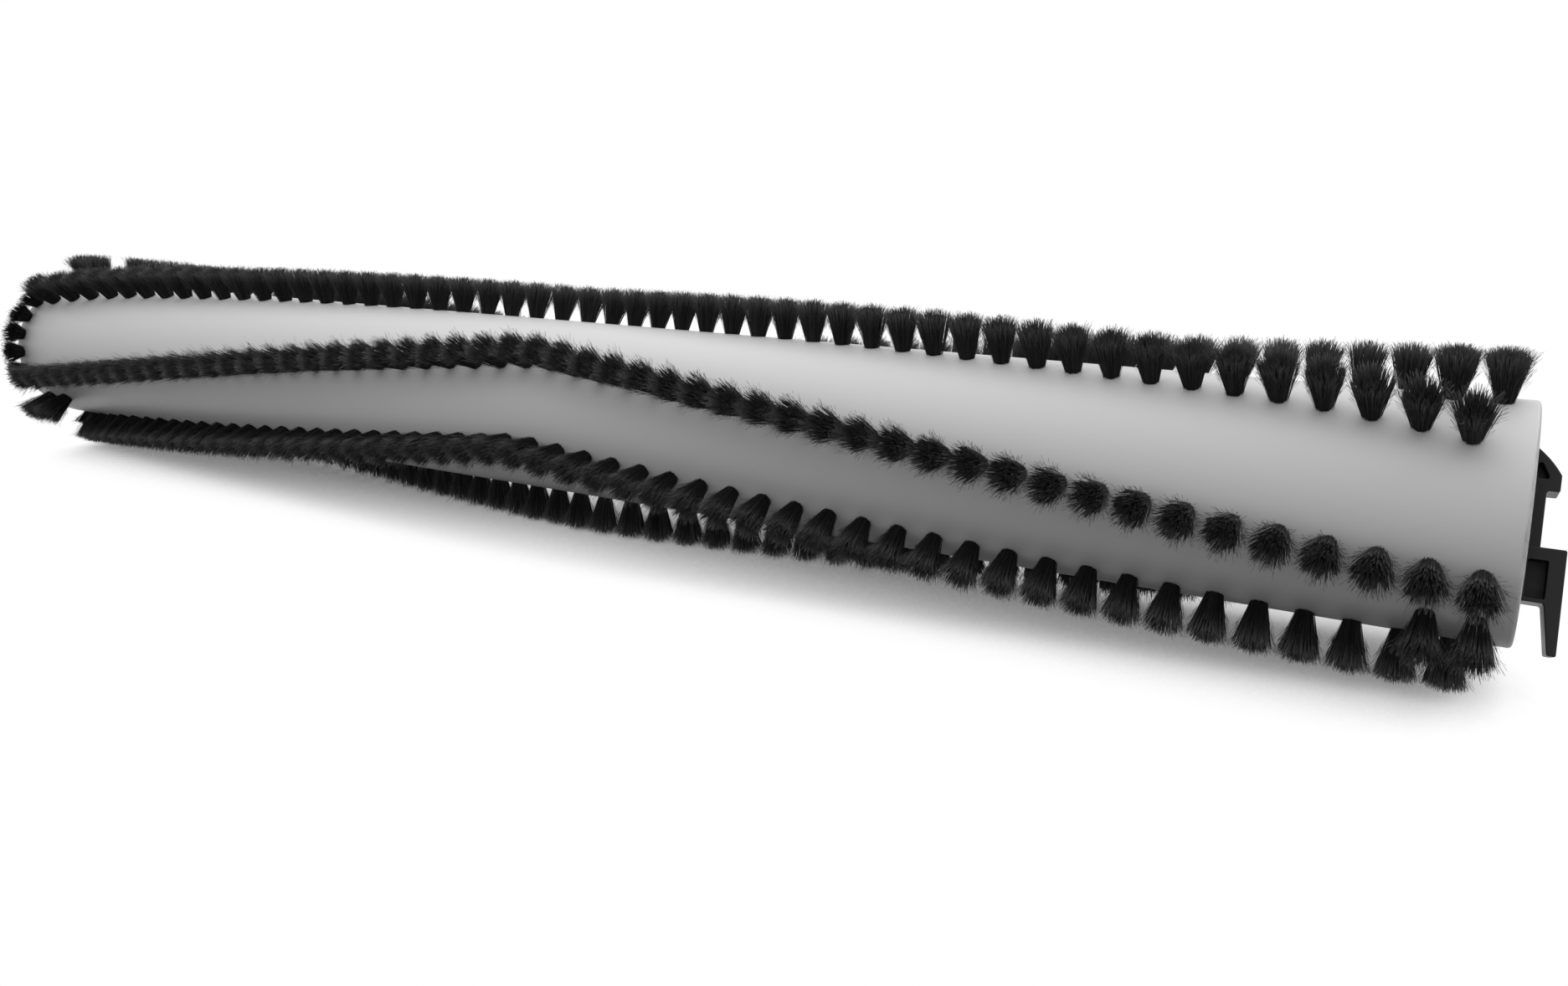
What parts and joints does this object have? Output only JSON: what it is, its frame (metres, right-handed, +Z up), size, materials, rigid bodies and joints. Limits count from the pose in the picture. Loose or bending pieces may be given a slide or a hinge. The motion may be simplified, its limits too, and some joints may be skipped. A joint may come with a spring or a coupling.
{
  "type": "vacuum cleaner roller brush",
  "caption": "Roller brush for an upright vacuum cleaner: white tubular core, chevron rows of flared black bristle tufts, hooked drive coupling at one end, stub axle at the other.",
  "frame": {"origin": "on the floor under the middle of the brush's length, midway between its front and back", "axes": "+X along the brush's axis to the drive coupling, -Y the front shown in the picture, +Z up from the floor the tufts rest on"},
  "size_m": [0.5012, 0.0702, 0.069],
  "materials": {
    "white_core": "smooth satin moulded plastic",
    "black_bristle": "crimped nylon filament, cut ends",
    "black_plastic": "fine satin moulded plastic",
    "bronze": "sintered, oil impregnated",
    "felt": "pressed wool felt",
    "steel": "turned"
  },
  "bodies": {
    "brush": {"core_tube": "white_core", "drive_coupling": "black_plastic", "bearing_plug": "black_plastic", "bearing_bush": "bronze", "felt_seal": "felt", "bristle_row_1": "black_bristle", "bristle_row_2": "black_bristle", "bristle_row_3": "black_bristle", "bristle_row_4": "black_bristle", "bristle_row_5": "black_bristle", "bristle_row_6": "black_bristle", "drive_end_pair_1": "black_bristle", "drive_end_pair_2": "black_bristle", "drive_end_pair_3": "black_bristle", "bearing_end_pair_1": "black_bristle", "bearing_end_pair_2": "black_bristle", "bearing_end_pair_3": "black_bristle", "edge_arc_1": "black_bristle", "edge_arc_2": "black_bristle", "edge_arc_3": "black_bristle"},
    "axle": {"stub_axle": "steel", "thrust_washer": "steel", "retaining_clip": "steel"}
  },
  "joints": [
    {"name": "axle_spin", "type": "hinge", "parent": "brush", "child": "axle", "pos_m": [-0.2336, 0, 0.034], "axis": [1, 0, 0], "continuous": true}
  ]
}
